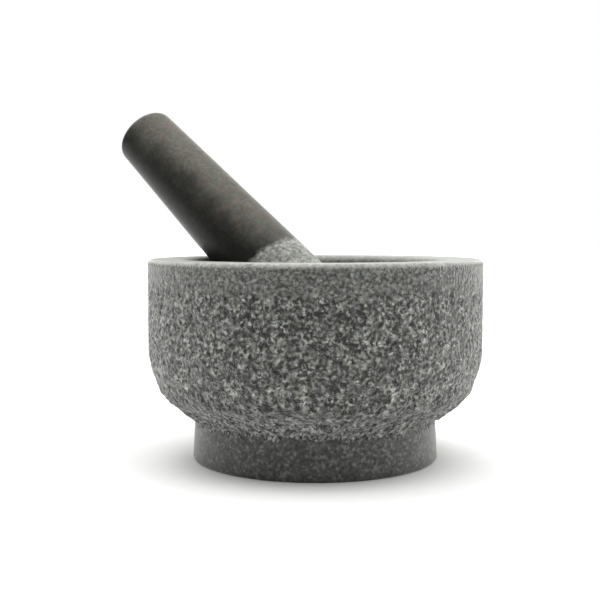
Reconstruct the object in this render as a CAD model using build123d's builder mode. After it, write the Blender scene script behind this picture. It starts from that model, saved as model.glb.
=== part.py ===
from build123d import *

import os
from math import acos, asin, cos, degrees, radians, sin, sqrt

# A granite mortar and pestle: a round bowl on a ring-shaped foot, cut from one stone,
# and a tapered stone pestle that leans in it. Millimetres, +Z up, with the origin at the
# centre of the foot's underside. The pestle leans back and to the left, towards -X and +Y.

# Mortar, outside
mortar_radius = 80.0
mortar_height = 95.5
wall_bottom = 54.0            # below this height the upright wall curves in to the foot
belly_radius = 38.0           # section curve of the lower bowl
foot_radius = 59.0            # at the floor
neck_radius = 58.0            # where the foot meets the bowl

# Mortar, inside
mouth_radius = 62.0
bowl_depth = 69.0
side_curve_radius = 48.0      # section curve below the upright inner wall
floor_curve_radius = 75.0     # flatter curve across the grinding floor

# Edges of the mortar
rim_outer_round = 2.4
rim_inner_round = 4.0
foot_edge_round = 1.2
neck_round = 1.0

# Pestle
pestle_above_rim = 103.0      # along its axis, from the plane of the rim to the flat top
pestle_in_bowl = 87.5         # along its axis, from the plane of the rim to the lower end
pestle_top_radius = 15.9
pestle_head_radius = 22.7     # where the taper meets the grinding face
grinding_face_radius = 34.0   # crown of the lower end
head_edge_round = 11.0
top_edge_round = 3.5
pestle_lean = 50.5            # degrees from upright
pestle_heading = 144.65       # degrees from +X about +Z, the way the top leans
rim_crossing = 34.3           # from the mortar's axis to where the pestle's axis crosses the rim

os.makedirs("parts", exist_ok=True)


# The mortar: one stone, bowl and foot together
belly_centre_radius = mortar_radius - belly_radius
belly_angle = degrees(acos((neck_radius - belly_centre_radius) / belly_radius))
neck_height = wall_bottom - belly_radius * sin(radians(belly_angle))

# The two inner curves are tangent where they meet, and the floor curve is centred on the axis
curve_angle = degrees(
    acos((mouth_radius - side_curve_radius) / (floor_curve_radius - side_curve_radius))
)
floor_height = mortar_height - bowl_depth
floor_curve_centre = floor_height + floor_curve_radius
centre_rise = (floor_curve_radius - side_curve_radius) * sin(radians(curve_angle))
side_curve_centre = floor_curve_centre - centre_rise

with BuildPart() as mortar:
    with BuildSketch(Plane.XZ):
        with BuildLine():
            underside = Line((0, 0), (foot_radius, 0))
            Line(underside @ 1, (neck_radius, neck_height))
            belly = CenterArc(
                (belly_centre_radius, wall_bottom), belly_radius, -belly_angle, belly_angle
            )
            wall = Line(belly @ 1, (mortar_radius, mortar_height))
            top = Line(wall @ 1, (0, mortar_height))
            Line(top @ 1, underside @ 0)
        make_face()
    revolve(axis=Axis.Z)

    with BuildSketch(Plane.XZ):
        with BuildLine():
            floor = CenterArc(
                (0, floor_curve_centre), floor_curve_radius, -90, 90 - curve_angle
            )
            side = CenterArc(
                (mouth_radius - side_curve_radius, side_curve_centre),
                side_curve_radius,
                -curve_angle,
                curve_angle,
            )
            inner_wall = Line(side @ 1, (mouth_radius, mortar_height))
            mouth = Line(inner_wall @ 1, (0, mortar_height))
            Line(mouth @ 1, floor @ 0)
        make_face()
    revolve(axis=Axis.Z, mode=Mode.SUBTRACT)

    rim_edges = mortar.edges().filter_by(GeomType.CIRCLE).group_by(Axis.Z)[-1]
    fillet(rim_edges.sort_by(SortBy.RADIUS)[0], rim_inner_round)
    rim_edges = mortar.edges().filter_by(GeomType.CIRCLE).group_by(Axis.Z)[-1]
    fillet(rim_edges.sort_by(SortBy.RADIUS)[-1], rim_outer_round)
    foot_edges = mortar.edges().filter_by(GeomType.CIRCLE).group_by(Axis.Z)
    fillet(foot_edges[1], neck_round)
    fillet(mortar.edges().filter_by(GeomType.CIRCLE).group_by(Axis.Z)[0], foot_edge_round)

mortar.part.label = "mortar"
export_step(mortar.part, "parts/mortar.step")


# The pestle: one tapered stone with a crowned grinding face, resting against the rim
lean = radians(pestle_lean)
heading = radians(pestle_heading)
outward = Vector(cos(heading), sin(heading), 0)
sideways = Vector(-sin(heading), cos(heading), 0)
pestle_axis = outward * sin(lean) + Vector(0, 0, cos(lean))
rim_point = outward * rim_crossing + Vector(0, 0, mortar_height)
lower_end = rim_point - pestle_axis * pestle_in_bowl
pestle_length = pestle_above_rim + pestle_in_bowl
face_angle = degrees(asin(pestle_head_radius / grinding_face_radius))

# Section plane with its Y along the pestle, upwards from the lower end
pestle_plane = Plane(origin=lower_end, x_dir=pestle_axis.cross(sideways), z_dir=sideways)

turning_axis = Axis(lower_end, pestle_axis)

with BuildPart() as pestle:
    with BuildSketch(pestle_plane) as half_section:
        with BuildLine():
            grinding_face = CenterArc(
                (0, grinding_face_radius), grinding_face_radius, -90, face_angle
            )
            taper = Line(grinding_face @ 1, (pestle_top_radius, pestle_length))
            flat_top = Line(taper @ 1, (0, pestle_length))
            Line(flat_top @ 1, grinding_face @ 0)
        make_face()
        head_corner = half_section.vertices().sort_by_distance(grinding_face @ 1)[0]
        fillet(head_corner, head_edge_round)
        top_corner = half_section.vertices().sort_by_distance(taper @ 1)[0]
        fillet(top_corner, top_edge_round)
    revolve(axis=turning_axis)

pestle.part.label = "pestle"
export_step(pestle.part, "parts/pestle.step")
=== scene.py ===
import math

import bpy
import numpy as np
from mathutils import Matrix, Vector, noise


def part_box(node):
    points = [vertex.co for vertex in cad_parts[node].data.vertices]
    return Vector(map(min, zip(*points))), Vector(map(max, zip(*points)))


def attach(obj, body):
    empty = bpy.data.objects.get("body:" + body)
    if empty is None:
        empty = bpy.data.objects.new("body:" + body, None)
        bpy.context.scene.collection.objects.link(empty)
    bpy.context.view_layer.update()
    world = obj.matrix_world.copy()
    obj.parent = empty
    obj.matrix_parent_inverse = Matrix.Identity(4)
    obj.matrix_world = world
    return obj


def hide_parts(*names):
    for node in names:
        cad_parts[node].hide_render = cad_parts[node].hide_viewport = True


# A granite mortar with a polished stone pestle leaning in it, on a white studio floor.
# Lengths are in metres. Names ending in _mm are in millimetres.

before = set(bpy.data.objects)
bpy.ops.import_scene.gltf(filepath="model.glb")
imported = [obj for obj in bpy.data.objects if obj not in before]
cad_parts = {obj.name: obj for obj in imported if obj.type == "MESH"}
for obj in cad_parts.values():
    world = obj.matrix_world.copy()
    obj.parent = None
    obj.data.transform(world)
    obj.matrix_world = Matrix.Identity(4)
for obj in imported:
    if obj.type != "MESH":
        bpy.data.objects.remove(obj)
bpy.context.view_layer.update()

MM = 0.001

# Mortar, with its outer radius and height taken from the frame
mortar_low, mortar_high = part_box("mortar")
RADIUS = mortar_high.x
HEIGHT = mortar_high.z
WALL_BOTTOM = 54.0 * MM
BELLY_CURVE = 38.0 * MM
FOOT_RADIUS = 59.0 * MM
NECK_RADIUS = 58.0 * MM
MOUTH_RADIUS = 62.0 * MM
BOWL_DEPTH = 69.0 * MM
SIDE_CURVE = 48.0 * MM
FLOOR_CURVE = 75.0 * MM
RIM_OUTER_ROUND = 2.4 * MM
RIM_INNER_ROUND = 4.0 * MM
FOOT_EDGE_ROUND = 1.2 * MM
NECK_HEIGHT = WALL_BOTTOM - math.sqrt(BELLY_CURVE**2 - (NECK_RADIUS - RADIUS + BELLY_CURVE) ** 2)
RIM_BAND = 9.0 * MM             # the finer tooled band under the rim
SHOULDER_HEIGHT = 33.0 * MM     # a slight ridge around the lower bowl
SLOPE_RUN = 0.50                # how far the tool marks run down the lower bowl, 0 to 1
OUTER_SEGMENTS = 640
INNER_SEGMENTS = 160

# Pestle, from the line that its axis lies on
PESTLE_ABOVE_RIM = 103.0 * MM
PESTLE_IN_BOWL = 87.5 * MM
TOP_RADIUS = 15.9 * MM
HEAD_RADIUS = 22.7 * MM
FACE_CURVE = 34.0 * MM
HEAD_EDGE_ROUND = 11.0 * MM
TOP_EDGE_ROUND = 3.5 * MM
LEAN = math.radians(50.5)
HEADING = math.radians(144.65)
RIM_CROSSING = 34.3 * MM
GROUND_LENGTH = 78.7 * MM       # unpolished length, from the lower end
PESTLE_SEGMENTS = 220

# Camera
CAMERA_DISTANCE = 0.5002        # in front of the mortar's axis
CAMERA_HEIGHT = 0.109
CAMERA_PITCH = math.radians(3.84)
CAMERA_YAW = math.radians(0.835)
CAMERA_LENS = 62.17


# ---------------------------------------------------------------- turned meshes

def straight(start, end, step):
    """Points from start to end, without start."""
    count = max(1, math.ceil(math.dist(start, end) / step))
    return [
        (
            start[0] + (end[0] - start[0]) * k / count,
            start[1] + (end[1] - start[1]) * k / count,
        )
        for k in range(1, count + 1)
    ]


def bend(centre, radius, first, last, step):
    """Points along an arc between two angles in radians, without the first."""
    count = max(3, math.ceil(abs(last - first) * radius / step))
    angles = [first + (last - first) * k / count for k in range(1, count + 1)]
    return [
        (centre[0] + radius * math.cos(a), centre[1] + radius * math.sin(a))
        for a in angles
    ]


def mortar_bands():
    """The mortar's half section as bands of (points, segments).

    It runs from the middle of the underside, up the outside and down to the bowl's floor.
    """
    right = math.pi / 2
    belly_centre = (RADIUS - BELLY_CURVE, WALL_BOTTOM)
    belly_angle = math.acos((NECK_RADIUS - belly_centre[0]) / BELLY_CURVE)

    curve_angle = math.acos((MOUTH_RADIUS - SIDE_CURVE) / (FLOOR_CURVE - SIDE_CURVE))
    floor_centre = (0.0, HEIGHT - BOWL_DEPTH + FLOOR_CURVE)
    side_rise = (FLOOR_CURVE - SIDE_CURVE) * math.sin(curve_angle)
    side_centre = (MOUTH_RADIUS - SIDE_CURVE, floor_centre[1] - side_rise)

    foot_corner = (FOOT_RADIUS - FOOT_EDGE_ROUND, FOOT_EDGE_ROUND)
    rim_outer = (RADIUS - RIM_OUTER_ROUND, HEIGHT - RIM_OUTER_ROUND)
    rim_inner = (MOUTH_RADIUS + RIM_INNER_ROUND, HEIGHT - RIM_INNER_ROUND)

    underside = [(0.0, 0.0)] + straight((0.0, 0.0), (foot_corner[0], 0.0), 5 * MM)

    outside = bend(foot_corner, FOOT_EDGE_ROUND, -right, 0.0, 0.5 * MM)
    outside += straight(outside[-1], (NECK_RADIUS, NECK_HEIGHT), 1.5 * MM)
    outside += bend(belly_centre, BELLY_CURVE, -belly_angle, 0.0, 0.78 * MM)
    outside += straight(outside[-1], (RADIUS, HEIGHT - RIM_OUTER_ROUND), 0.78 * MM)
    outside += bend(rim_outer, RIM_OUTER_ROUND, 0.0, right, 0.6 * MM)

    inside = straight(outside[-1], (rim_inner[0], HEIGHT), 2.0 * MM)
    inside += bend(rim_inner, RIM_INNER_ROUND, right, math.pi, 0.8 * MM)
    inside += straight(inside[-1], (MOUTH_RADIUS, side_centre[1]), 2.5 * MM)
    inside += bend(side_centre, SIDE_CURVE, 0.0, -curve_angle, 2.5 * MM)
    inside += bend(floor_centre, FLOOR_CURVE, -curve_angle, -right, 2.5 * MM)
    return [(underside, INNER_SEGMENTS), (outside, OUTER_SEGMENTS), (inside, INNER_SEGMENTS)]


def pestle_outline():
    """The pestle's half section, from its lower end at height 0 to the middle of its flat top."""
    length = PESTLE_ABOVE_RIM + PESTLE_IN_BOWL
    face_centre = Vector((0.0, FACE_CURVE))
    corner = Vector((HEAD_RADIUS, FACE_CURVE - math.sqrt(FACE_CURVE**2 - HEAD_RADIUS**2)))
    along = (Vector((TOP_RADIUS, length)) - corner).normalized()
    inward = Vector((-along.y, along.x))

    # The rounding's centre lies one radius inside both the crowned face and the taper
    start = corner + inward * HEAD_EDGE_ROUND - face_centre
    middle = start.dot(along)
    reach = (FACE_CURVE - HEAD_EDGE_ROUND) ** 2
    shift = -math.sqrt(middle**2 - start.length_squared + reach) - middle
    from_face = start + along * shift
    head_centre = face_centre + from_face
    face_angle = math.atan2(from_face.y, from_face.x)
    taper_angle = math.atan2(-inward.y, -inward.x)

    top_centre = (TOP_RADIUS - TOP_EDGE_ROUND, length - TOP_EDGE_ROUND)
    line = [(0.0, 0.0)]
    line += bend(face_centre, FACE_CURVE, -math.pi / 2, face_angle, 1.2 * MM)
    line += bend(head_centre, HEAD_EDGE_ROUND, face_angle, taper_angle, 1.0 * MM)
    line += straight(line[-1], (TOP_RADIUS, top_centre[1]), 0.7 * MM)
    line += bend(top_centre, TOP_EDGE_ROUND, 0.0, math.pi / 2, 0.4 * MM)
    line += straight(line[-1], (0.0, length), 1.2 * MM)
    return line


def outline_normals(line):
    """Outward unit normals of a half section that runs anticlockwise."""
    points = np.array(line)
    along = np.gradient(points, axis=0)
    along /= np.linalg.norm(along, axis=1)[:, None]
    normals = np.stack([along[:, 1], -along[:, 0]], axis=1)
    normals[0] = (0.0, np.sign(normals[0, 1]))
    normals[-1] = (0.0, np.sign(normals[-1, 1]))
    return normals


def stitched(low, low_count, high, high_count):
    """Faces between two rings of vertices, given the first index and the count of each."""
    if low_count == high_count:
        return [
            (low + k, low + (k + 1) % low_count, high + (k + 1) % low_count, high + k)
            for k in range(low_count)
        ]
    faces = []
    i = j = 0
    while i < low_count or j < high_count:
        here = (low + i % low_count, high + j % high_count)
        if (i + 1) * high_count <= (j + 1) * low_count:
            i += 1
            faces.append((here[0], low + i % low_count, here[1]))
        else:
            j += 1
            faces.append((here[0], high + j % high_count, here[1]))
    return faces


def turned(name, bands, relief):
    """A closed mesh of a half section turned about Z.

    relief(point) moves each point along its normal. The attribute own_place_mm holds where each
    point was before that, for the materials.
    """
    line = [point for points, _ in bands for point in points]
    counts = [segments for points, segments in bands for _ in points][1:-1]
    normals = outline_normals(line)

    places = [Vector((0.0, 0.0, line[0][1]))]
    verts = list(places)
    starts = []
    for (radius, height), (out, up), count in zip(line[1:-1], normals[1:-1], counts):
        starts.append(len(verts))
        angles = np.linspace(0.0, 2 * math.pi, count, endpoint=False)
        for c, s in zip(np.cos(angles), np.sin(angles)):
            point = Vector((radius * c, radius * s, height))
            places.append(point)
            verts.append(point + Vector((out * c, out * s, up)) * relief(point))
    places.append(Vector((0.0, 0.0, line[-1][1])))
    verts.append(places[-1])

    first, last = counts[0], counts[-1]
    faces = [(0, 1 + (k + 1) % first, 1 + k) for k in range(first)]
    for low, low_count, high, high_count in zip(starts, counts, starts[1:], counts[1:]):
        faces += stitched(low, low_count, high, high_count)
    end = len(verts) - 1
    faces += [(starts[-1] + k, starts[-1] + (k + 1) % last, end) for k in range(last)]

    mesh = bpy.data.meshes.new(name)
    mesh.from_pydata(verts, [], faces)
    mesh.shade_smooth()
    own_place = mesh.attributes.new("own_place_mm", "FLOAT_VECTOR", "POINT")
    own_place.data.foreach_set("vector", (np.array(places) / MM).ravel())
    made = bpy.data.objects.new(name, mesh)
    bpy.context.collection.objects.link(made)
    return made


# ---------------------------------------------------------------- surface relief

def ramp(value, low, high):
    """0 below low, 1 above high, smooth between."""
    t = min(1.0, max(0.0, (value - low) / (high - low)))
    return t * t * (3 - 2 * t)


def lumps(point, size):
    """Smooth noise of about -1 to 1 whose lumps are about that size."""
    return noise.noise(point / size) * 1.6


def chips(point, size):
    """Flat facets about that size, from 0 at their middles to -1 at the edges between them."""
    nearest, second = noise.voronoi(point / size)[0][:2]
    return -min(1.0, max(0.0, 1.0 - (second - nearest) / 0.45)) ** 2


def tooling(point):
    """How rough the mortar is tooled at a point: 0 on ground faces, 1 on the bowl's outside."""
    wander = lumps(point, 7 * MM) * 1.2 * MM
    above_foot = ramp(point.z + wander, NECK_HEIGHT - 1.5 * MM, NECK_HEIGHT + 1.5 * MM)
    under_rim = ramp(HEIGHT - point.z, 0.6 * RIM_OUTER_ROUND, 1.6 * RIM_OUTER_ROUND)
    band = 0.3 + 0.7 * ramp(HEIGHT - point.z + wander, RIM_BAND - 2 * MM, RIM_BAND + 5 * MM)
    return above_foot * under_rim * band


def is_inside(point):
    """Whether a point of the mortar's surface is on the bowl's inside or the flat of its rim."""
    around = math.hypot(point.x, point.y)
    if point.z > WALL_BOTTOM:
        return around < RADIUS - RIM_OUTER_ROUND + 0.1 * MM
    return point.z > NECK_HEIGHT and around < MOUTH_RADIUS - (WALL_BOTTOM - point.z) * 0.5


def drawn_out(point):
    """Where the outside's relief is taken from, so that it runs long down the lower bowl."""
    spread = 1 + SLOPE_RUN * (RADIUS / math.hypot(point.x, point.y) - 1)
    return Vector((point.x * spread, point.y * spread, point.z))


def mortar_relief(point):
    """How far the mortar's surface stands out, from its grain and tool marks."""
    if point.z < 0.5 * MM:
        return 0.0
    ground = lumps(point, 2.5 * MM) * 0.03 * MM
    if is_inside(point):
        return ground
    rough = tooling(point)
    point = drawn_out(point)

    # How far each kind of mark stands out or goes in, in millimetres
    low_down = ramp(-point.z, -WALL_BOTTOM, -0.5 * WALL_BOTTOM)
    flakes = (lumps(point, 11 * MM) * 0.45 + chips(point, 9 * MM) * 0.5) * low_down
    pits = -ramp(lumps(point, 1.8 * MM), 0.0, 0.6) * 0.6
    hollows = -ramp(lumps(point, 4.2 * MM), 0.0, 0.8) * 0.3
    shoulder = max(0.0, 1.0 - abs(point.z - SHOULDER_HEIGHT) / (6 * MM)) ** 0.8 * 1.2
    knobs = (lumps(point, 4 * MM) + lumps(point, 2.4 * MM)) * 0.45
    knobs *= ramp(-point.z, -34 * MM, -24 * MM)
    tooled = (flakes + pits + hollows + shoulder + knobs) * MM
    return rough * tooled + (1 - rough) * ground


def pestle_relief(point):
    """How far the pestle's surface stands out, with a grain on its ground lower end."""
    ground = ramp(-point.z, -GROUND_LENGTH - 1.0 * MM, -GROUND_LENGTH + 1.0 * MM)
    return (lumps(point, 1.6 * MM) * 0.035 * ground + lumps(point, 18 * MM) * 0.05) * MM


# ---------------------------------------------------------------- materials

NOISE_MIDDLE = 0.5

# Tones through the noise that stands for the stone's crystals, each as (level, reflectance)
STONE_HUE = (0.985, 1.0, 0.94)
GROUND_TONES = [(0.34, 0.12), (0.43, 0.20), (0.50, 0.26), (0.58, 0.33), (0.68, 0.45)]
# The foot's tones are darker than the rim's ground tones: painted shade under the bowl's overhang
FOOT_TONES_WITH_PAINTED_SHADE = [(0.35, 0.020), (0.435, 0.043), (0.50, 0.065), (0.57, 0.100), (0.66, 0.20)]
# The tooled tones follow the same level as the bump: the grain's own tones, with painted shade
# darkening the hollows
TOOLED_TONES_WITH_PIT_SHADE = [
    (0.36, 0.004),
    (0.455, 0.050),
    (0.51, 0.115),
    (0.575, 0.208),
    (0.67, 0.40),
    (0.80, 0.60),
]
POLISHED_TONES = [(0.30, 0.014), (0.50, 0.026), (0.70, 0.046)]
PESTLE_GROUND_GAIN = 1.13       # the pestle's ground end against the mortar's ground faces

# Painted light and shade on the lower bowl by height: lighter just above the neck, darker under
# the shoulder's ridge, lighter on top of it, as (part of the mortar's height, factor)
SHOULDER_LIGHT_AND_SHADE = [
    (0.16, 1.0),
    (0.205, 1.12),
    (0.24, 0.88),
    (0.28, 0.80),
    (0.32, 0.70),
    (0.36, 0.80),
    (0.40, 1.22),
    (0.50, 1.0),
]

# Faint cool and warm patches, through another noise
WALL_TINTS = [(0.36, (0.96, 1.0, 1.02)), (0.50, (1.0, 1.0, 1.0)), (0.64, (1.05, 1.0, 0.93))]
POLISHED_TINTS = [(0.40, (0.95, 1.0, 1.0)), (0.62, (1.10, 1.0, 0.96))]

# The polished handle's clouds and its painted lit side, as factors on its tones
HANDLE_CLOUDS_AND_PAINTED_LIGHT = [
    (0.43, (0.66, 0.70, 0.62)),
    (0.50, (0.57, 0.58, 0.53)),
    (0.55, (1.37, 1.31, 1.19)),
    (0.60, (3.36, 3.14, 2.84)),
    (0.66, (4.55, 4.25, 3.82)),
]

# Grain too fine for the mesh, as its depth in millimetres
TOOLED_DEPTH = 2.4
GROUND_DEPTH = 0.04
PESTLE_DEPTH = 0.3
POLISH_RIPPLE = 0.06
BUMP_STRENGTH = 0.8

TOOLED_ROUGHNESS = 0.6
GROUND_ROUGHNESS = 0.45

# How fast painted light makes the handle lighter over its clouds, per millimetre
PAINTED_LIGHT_UPWARDS = 0.0085        # from its lower side to its upper side
PAINTED_LIGHT_ALONG = 0.0008          # towards its top, from the height of HANDLE_MIDDLE
HANDLE_MIDDLE = 155.0

# Where the mortar's finishes meet, in millimetres. Its outside is what lies beyond the radius
# OUTSIDE_LOW up to the height OUTSIDE_STEP, and beyond OUTSIDE_HIGH above that.
NECK = NECK_HEIGHT / MM
TOP = HEIGHT / MM
OUTSIDE_LOW = 56.0
OUTSIDE_HIGH = 67.0
OUTSIDE_STEP = 32.0


def put(tree, value, socket):
    """Sets an input to a value, or links another node's socket to it."""
    if isinstance(value, bpy.types.NodeSocket):
        tree.links.new(value, socket)
    else:
        socket.default_value = value


def add(tree, kind, inputs=None, **settings):
    """A node with its settings and its inputs."""
    made = tree.nodes.new(kind)
    for name, value in settings.items():
        setattr(made, name, value)
    for key, value in (inputs or {}).items():
        put(tree, value, made.inputs[key])
    return made


def maths(tree, operation, *values):
    return add(tree, "ShaderNodeMath", dict(enumerate(values)), operation=operation).outputs[0]


def vector_maths(tree, operation, inputs, result="Vector"):
    return add(tree, "ShaderNodeVectorMath", inputs, operation=operation).outputs[result]


def mixed(tree, factor, first, second):
    return add(
        tree, "ShaderNodeMix", {0: factor, 2: first, 3: second}, data_type="FLOAT"
    ).outputs[0]


def blended(tree, factor, first, second, blend="MIX"):
    return add(
        tree,
        "ShaderNodeMix",
        {0: factor, 6: first, 7: second},
        data_type="RGBA",
        blend_type=blend,
    ).outputs[2]


def tinted(tree, colour, tint):
    """A colour times another colour, or times a number."""
    return blended(tree, 1.0, colour, tint, "MULTIPLY")


def grey(value):
    return (value, value, value, 1.0)


def colour_ramp(tree, factor, colours):
    """A colour ramp through (position, (red, green, blue)) pairs."""
    made = add(tree, "ShaderNodeValToRGB", {"Fac": factor})
    steps = made.color_ramp.elements
    while len(steps) < len(colours):
        steps.new(0.5)
    for step, (position, colour) in zip(steps, colours):
        step.position = position
        step.color = (*colour, 1.0)
    return made.outputs["Color"]


def tone_ramp(tree, factor, tones, hue=(1.0, 1.0, 1.0)):
    """A ramp of one hue through (position, tone) pairs."""
    return colour_ramp(tree, factor, [(at, [part * tone for part in hue]) for at, tone in tones])


def in_millimetres(tree):
    """The piece's own coordinates before it was placed, in millimetres."""
    return add(tree, "ShaderNodeAttribute", attribute_name="own_place_mm").outputs["Vector"]


def cloudy(tree, place, size_mm, detail=2.0, roughness=0.5):
    """Noise of 0 to 1 whose largest clouds are about that size."""
    return add(
        tree,
        "ShaderNodeTexNoise",
        {"Vector": place, "Scale": 1 / size_mm, "Detail": detail, "Roughness": roughness},
    ).outputs["Fac"]


def elsewhere(tree, place, far_mm):
    """The same place in another part of the noise, so that two patterns differ."""
    return vector_maths(tree, "ADD", {0: place, 1: (far_mm, far_mm, far_mm)})


def between(tree, value, low, high, first=0.0, last=1.0):
    """first below low, last above high, smooth between."""
    return add(
        tree,
        "ShaderNodeMapRange",
        {"Value": value, 1: low, 2: high, 3: first, 4: last},
        interpolation_type="SMOOTHSTEP",
    ).outputs[0]


def softened(tree, level, contrast):
    """A noise's level drawn towards its middle. A contrast of 1 leaves it as it is."""
    return mixed(tree, contrast, NOISE_MIDDLE, level)


def worms(tree, place, size_mm, width):
    """1 along winding lines about that far apart, broken into short lengths, 0 between them."""
    off_middle = maths(tree, "SUBTRACT", cloudy(tree, place, size_mm), NOISE_MIDDLE)
    line = between(tree, maths(tree, "ABSOLUTE", off_middle), 0.3 * width, width, 1.0, 0.0)
    moved = vector_maths(tree, "ADD", {0: place, 1: (31.0, 17.0, 53.0)})
    gap = between(tree, cloudy(tree, moved, 0.8 * size_mm), 0.42, 0.54)
    return maths(tree, "MULTIPLY", line, gap)


def crystals(tree, place):
    """1 on small scattered crystals, 0 between them."""
    return between(tree, cloudy(tree, place, 1.5, 1.0), 0.62, 0.68)


def new_material(name):
    material = bpy.data.materials.new(name)
    material.use_nodes = True
    tree = material.node_tree
    tree.nodes.clear()
    output = add(tree, "ShaderNodeOutputMaterial")
    surface = add(tree, "ShaderNodeBsdfPrincipled")
    tree.links.new(surface.outputs[0], output.inputs["Surface"])
    return material, tree, surface


def feed(tree, surface, **values):
    """Gives inputs of the surface by their names, with underscores for spaces."""
    for key, value in values.items():
        put(tree, value, surface.inputs[key.replace("_", " ")])


def stone_tones(tree, level, tones):
    """The stone's slightly green grey for each level."""
    return tone_ramp(tree, level, tones, STONE_HUE)


def coordinates(tree, place):
    return add(tree, "ShaderNodeSeparateXYZ", {0: place}).outputs


def bump(tree, level):
    """Normals for a surface whose level is given in millimetres."""
    inputs = {"Height": level, "Distance": MM, "Strength": BUMP_STRENGTH}
    return add(tree, "ShaderNodeBump", inputs).outputs[0]


def run_down(tree, level_place, height, around, outside):
    """Where the mortar's noise is taken from, so that it runs long down the lower bowl."""
    under_top = between(tree, height, TOP - 0.5, TOP - 3.0, 0.0, SLOPE_RUN)
    run = maths(tree, "MULTIPLY", outside, under_top)
    beyond = maths(tree, "SUBTRACT", maths(tree, "DIVIDE", RADIUS / MM, around), 1.0)
    spread = maths(tree, "MULTIPLY_ADD", beyond, run, 1.0)
    outwards = vector_maths(tree, "SCALE", {0: level_place, "Scale": spread})
    upwards = add(tree, "ShaderNodeCombineXYZ", {2: height}).outputs[0]
    return vector_maths(tree, "ADD", {0: outwards, 1: upwards})


def tool_cuts(tree, place, height, grain):
    """The tooled stone's level: its grain with ridges, creases, and light and dark crystals."""
    patterns = [
        (worms(tree, place, 2.2, 0.06), 0.06),
        (worms(tree, elsewhere(tree, place, 40.0), 2.4, 0.06), -0.14),
        (crystals(tree, elsewhere(tree, place, 70.0)), 0.13),
        (crystals(tree, elsewhere(tree, place, 55.0)), -0.12),
    ]
    level = grain
    for pattern, lift in patterns:
        level = maths(tree, "MULTIPLY_ADD", pattern, lift, level)

    # Its contrast changes in patches, and grows towards the neck
    patches = cloudy(tree, elsewhere(tree, place, 90.0), 6.0)
    contrast = between(tree, patches, 0.38, 0.60, 0.7, 1.25)
    contrast = maths(tree, "ADD", contrast, between(tree, height, 36.0, 24.0, 0.0, 0.5))
    off_middle = maths(tree, "SUBTRACT", level, NOISE_MIDDLE)
    return maths(tree, "MULTIPLY_ADD", off_middle, contrast, NOISE_MIDDLE)


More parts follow.
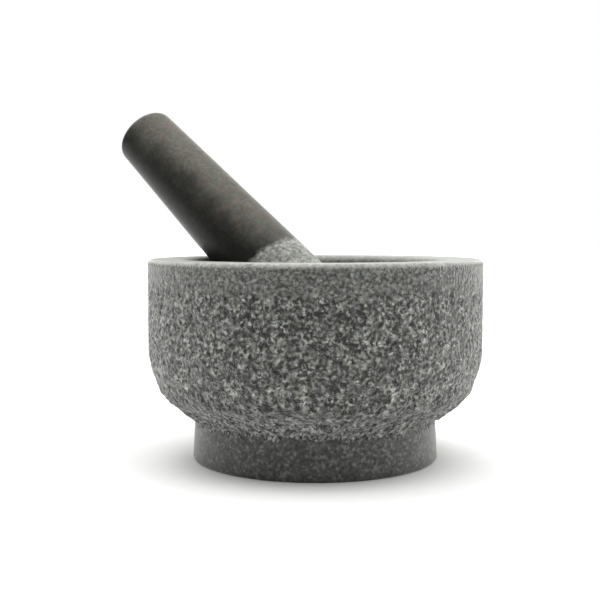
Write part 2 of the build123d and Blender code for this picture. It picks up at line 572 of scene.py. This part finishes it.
def mortar_granite():
    """Tooled wall with a finer band under the rim, and ground rim, inside and foot."""
    material, tree, surface = new_material("dressed_granite")
    own_place = in_millimetres(tree)
    height = coordinates(tree, own_place)[2]
    level_place = vector_maths(tree, "MULTIPLY", {0: own_place, 1: (1.0, 1.0, 0.0)})
    around = vector_maths(tree, "LENGTH", {0: level_place}, "Value")
    high_up = maths(tree, "GREATER_THAN", height, OUTSIDE_STEP)
    outside = maths(
        tree, "GREATER_THAN", around, mixed(tree, high_up, OUTSIDE_LOW, OUTSIDE_HIGH)
    )
    place = run_down(tree, level_place, height, around, outside)

    # Where the outside is tooled: above the foot, below the ground edge of the rim
    wander = maths(tree, "MULTIPLY_ADD", cloudy(tree, place, 5.0), 6.0, -3.0)
    wandering = maths(tree, "ADD", height, wander)
    above_foot = between(tree, wandering, NECK - 2.2, NECK - 0.6)
    ragged = maths(tree, "MULTIPLY_ADD", cloudy(tree, place, 1.3, 1.0), 2.6, -1.3)
    under_rim = between(tree, maths(tree, "ADD", height, ragged), TOP - 1.0, TOP - 2.8)
    tooled = maths(tree, "MULTIPLY", maths(tree, "MULTIPLY", above_foot, under_rim), outside)
    band_bottom = TOP - RIM_BAND / MM
    coarse = between(tree, wandering, band_bottom, band_bottom - 7.0)

    # The tooled wall, finer in the band under the rim, with a belt of painted light and shade low
    # down
    grain = cloudy(tree, place, 1.7, 1.0, 0.4)
    soft_grain = mixed(tree, 0.57, cloudy(tree, place, 4.0, 1.0, 1.0), grain)
    fine_grain = softened(tree, cloudy(tree, place, 1.5, 1.0, 0.7), 0.45)
    rough_grain = mixed(tree, coarse, fine_grain, tool_cuts(tree, place, height, soft_grain))
    # Painted shade under the shoulder's ridge, painted light above it and just above the neck
    painted_shoulder_shading = tone_ramp(tree, maths(tree, "DIVIDE", wandering, TOP), SHOULDER_LIGHT_AND_SHADE)
    # Painted shade in the bump's hollows through the tooled tones, times the shoulder's painted
    # light and shade
    wall = tinted(tree, stone_tones(tree, rough_grain, TOOLED_TONES_WITH_PIT_SHADE), painted_shoulder_shading)

    # The ground rim and inside: plainest on the flat of the rim, darker at its outer edge, with
    # painted light lifting the flat and the inside
    contrast = between(tree, around, 77.0, 78.8, 0.3, 0.8)
    contrast = maths(tree, "ADD", contrast, between(tree, around, 66.0, 61.5, 0.0, 0.3))
    rim_tones = stone_tones(tree, softened(tree, soft_grain, contrast), GROUND_TONES)
    # Painted light: the flat of the rim and the inside a little lighter than the rounded outer
    # edge
    rim_top = tinted(tree, rim_tones, between(tree, around, 78.5, 76.5, 1.0, 1.06))

    # The ground foot, whose grain isn't drawn out, with painted shade in its tones, and darker at
    # the floor by more painted shade
    foot_grain = mixed(
        tree,
        0.35,
        cloudy(tree, own_place, 1.5, 1.0, 0.5),
        cloudy(tree, own_place, 3.6, 1.0, 1.0),
    )
    above_neck = between(tree, height, NECK + 4.0, NECK + 9.0)
    ground = blended(tree, above_neck, stone_tones(tree, foot_grain, FOOT_TONES_WITH_PAINTED_SHADE), rim_top)
    stone = blended(tree, tooled, ground, wall)
    # Painted shade: the lowest 4 mm darker, down to three quarters at the floor
    stone = tinted(tree, stone, between(tree, height, 0.0, 4.0, 0.75, 1.0))
    patches = cloudy(tree, elsewhere(tree, place, 20.0), 3.0, 2.0)
    stone = tinted(tree, stone, colour_ramp(tree, patches, WALL_TINTS))

    ground_level = maths(tree, "MULTIPLY", grain, GROUND_DEPTH)
    rough_level = maths(tree, "MULTIPLY", rough_grain, TOOLED_DEPTH)
    level = mixed(tree, tooled, ground_level, rough_level)
    roughness = mixed(tree, tooled, GROUND_ROUGHNESS, TOOLED_ROUGHNESS)
    feed(tree, surface, Base_Color=stone, Roughness=roughness, Normal=bump(tree, level))
    feed(tree, surface, Sheen_Weight=0.6, Sheen_Roughness=0.45)
    return material


def pestle_granite():
    """A dark polished handle with lighter clouds and painted light on its upper side, and a light
    ground lower end.
    """
    material, tree, surface = new_material("polished_granite")
    place = in_millimetres(tree)
    across, _, along = coordinates(tree, place)

    # The ragged line where the polish ends
    sway = maths(tree, "MULTIPLY_ADD", cloudy(tree, place, 12.0, 1.0), 4.0, -2.0)
    ragged = maths(tree, "MULTIPLY_ADD", cloudy(tree, place, 1.8, 1.0), 3.0, -1.5)
    edge = maths(tree, "ADD", along, maths(tree, "ADD", sway, ragged))
    limit = GROUND_LENGTH / MM
    polished = between(tree, edge, limit - 2.0, limit + 2.0)

    # Painted light: the handle is lighter on its upper side and towards its top
    clouds_and_painted_light = softened(tree, cloudy(tree, place, 11.0, 2.0, 0.5), 0.12)
    clouds_and_painted_light = maths(tree, "MULTIPLY_ADD", across, -PAINTED_LIGHT_UPWARDS, clouds_and_painted_light)
    above_middle = maths(tree, "SUBTRACT", along, HANDLE_MIDDLE)
    clouds_and_painted_light = maths(tree, "MULTIPLY_ADD", above_middle, PAINTED_LIGHT_ALONG, clouds_and_painted_light)
    grain = cloudy(tree, place, 2.2, 2.0, 0.9)
    shine = stone_tones(tree, softened(tree, grain, 0.5), POLISHED_TONES)
    # Painted light on the handle's upper side and towards its top, over its clouds
    shine = tinted(tree, shine, colour_ramp(tree, clouds_and_painted_light, HANDLE_CLOUDS_AND_PAINTED_LIGHT))
    patches = cloudy(tree, elsewhere(tree, place, 20.0), 6.0, 2.0)
    shine = tinted(tree, shine, colour_ramp(tree, patches, POLISHED_TINTS))
    light_tones = [(at, PESTLE_GROUND_GAIN * tone) for at, tone in GROUND_TONES]
    stone = blended(tree, polished, stone_tones(tree, grain, light_tones), shine)

    ground_level = maths(tree, "MULTIPLY", grain, PESTLE_DEPTH)
    ripple = maths(tree, "MULTIPLY", cloudy(tree, place, 6.0), POLISH_RIPPLE)
    level = mixed(tree, polished, ground_level, ripple)
    polish = between(tree, clouds_and_painted_light, 0.4, 0.6, 0.36, 0.46)
    roughness = mixed(tree, polished, TOOLED_ROUGHNESS, polish)
    feed(tree, surface, Base_Color=stone, Roughness=roughness, Normal=bump(tree, level))
    feed(tree, surface, Specular_IOR_Level=0.15)
    return material


def floor_material():
    material, tree, surface = new_material("studio_floor")
    place = add(tree, "ShaderNodeTexCoord").outputs["Object"]
    colour = tone_ramp(tree, cloudy(tree, place, 0.4), [(0.0, 0.91), (1.0, 0.93)])
    feed(tree, surface, Base_Color=colour, Roughness=0.9, Specular_IOR_Level=0.1)
    return material


# ---------------------------------------------------------------- pieces

def place_mortar():
    stone = turned("mortar_stone", mortar_bands(), mortar_relief)
    stone.data.materials.append(mortar_granite())
    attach(stone, "mortar")
    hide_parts("mortar")


def pestle_place():
    """The pestle's own frame: its origin at the lower end and its Z up the pestle."""
    outward = Vector((math.cos(HEADING), math.sin(HEADING), 0.0))
    up = outward * math.sin(LEAN) + Vector((0.0, 0.0, math.cos(LEAN)))
    sideways = Vector((-math.sin(HEADING), math.cos(HEADING), 0.0))
    across = sideways.cross(up)
    origin = outward * RIM_CROSSING + Vector((0.0, 0.0, HEIGHT)) - up * PESTLE_IN_BOWL
    turn = Matrix((across, sideways, up)).transposed().to_4x4()
    return Matrix.Translation(origin) @ turn


def place_pestle():
    stone = turned("pestle_stone", [(pestle_outline(), PESTLE_SEGMENTS)], pestle_relief)
    stone.data.materials.append(pestle_granite())
    stone.data.transform(pestle_place())
    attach(stone, "pestle")
    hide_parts("pestle")


# ---------------------------------------------------------------- studio

FLOOR_HALF = 6.0


def place_floor():
    sides = [(-1, -1), (1, -1), (1, 1), (-1, 1)]
    corners = [(x * FLOOR_HALF, y * FLOOR_HALF, 0.0) for x, y in sides]
    mesh = bpy.data.meshes.new("studio_floor")
    mesh.from_pydata(corners, [], [(0, 1, 2, 3)])
    floor = bpy.data.objects.new("studio_floor", mesh)
    bpy.context.collection.objects.link(floor)
    mesh.materials.append(floor_material())


# Softboxes as (degrees clockwise from behind, elevation, brightness), with none in front
SOFTBOXES = [
    (0, 90, 3.0),
    (0, 42, 1.0),
    (0, 8, 1.2),
    (45, 8, 0.9),
    (90, 42, 1.9),
    (90, 8, 0.2),
    (270, 42, 1.2),
    (315, 42, 1.0),
]
SOFTBOX_EDGE = math.cos(math.radians(42))
SOFTBOX_MIDDLE = math.cos(math.radians(8))
SIDE_LIGHT = (0.985, 1.0, 0.95, 1.0)


def light_studio():
    """White softboxes that fade into each other, above, behind and at the sides."""
    world = bpy.data.worlds.new("studio")
    bpy.context.scene.world = world
    world.use_nodes = True
    tree = world.node_tree
    tree.nodes.clear()
    way = add(tree, "ShaderNodeTexCoord").outputs["Generated"]
    level = 0.0
    for azimuth, elevation, brightness in SOFTBOXES:
        turn, rise = math.radians(azimuth), math.radians(elevation)
        outward = math.cos(rise)
        towards = (math.sin(turn) * outward, math.cos(turn) * outward, math.sin(rise))
        facing = vector_maths(tree, "DOT_PRODUCT", {0: way, 1: towards}, "Value")
        box = between(tree, facing, SOFTBOX_EDGE, SOFTBOX_MIDDLE, 0.0, brightness)
        level = maths(tree, "ADD", level, box)
    overhead = between(tree, coordinates(tree, way)[2], 0.6, 0.95)
    hue = blended(tree, overhead, SIDE_LIGHT, grey(1.0))
    tent = add(tree, "ShaderNodeBackground", {"Color": hue, "Strength": level})
    white = add(tree, "ShaderNodeBackground", {"Color": grey(1.0), "Strength": 1.0})
    seen = add(tree, "ShaderNodeLightPath").outputs["Is Camera Ray"]
    shown = add(tree, "ShaderNodeMixShader", {0: seen, 1: tent.outputs[0], 2: white.outputs[0]})
    add(tree, "ShaderNodeOutputWorld", {"Surface": shown.outputs[0]})


def place_camera():
    data = bpy.data.cameras.new("camera")
    data.lens = CAMERA_LENS
    camera = bpy.data.objects.new("camera", data)
    camera.location = (0.0, -CAMERA_DISTANCE, CAMERA_HEIGHT)
    camera.rotation_euler = (math.pi / 2 - CAMERA_PITCH, 0.0, CAMERA_YAW)
    bpy.context.collection.objects.link(camera)
    bpy.context.scene.camera = camera


place_mortar()
place_pestle()
place_floor()
light_studio()
place_camera()
bpy.context.scene.view_settings.view_transform = "Standard"
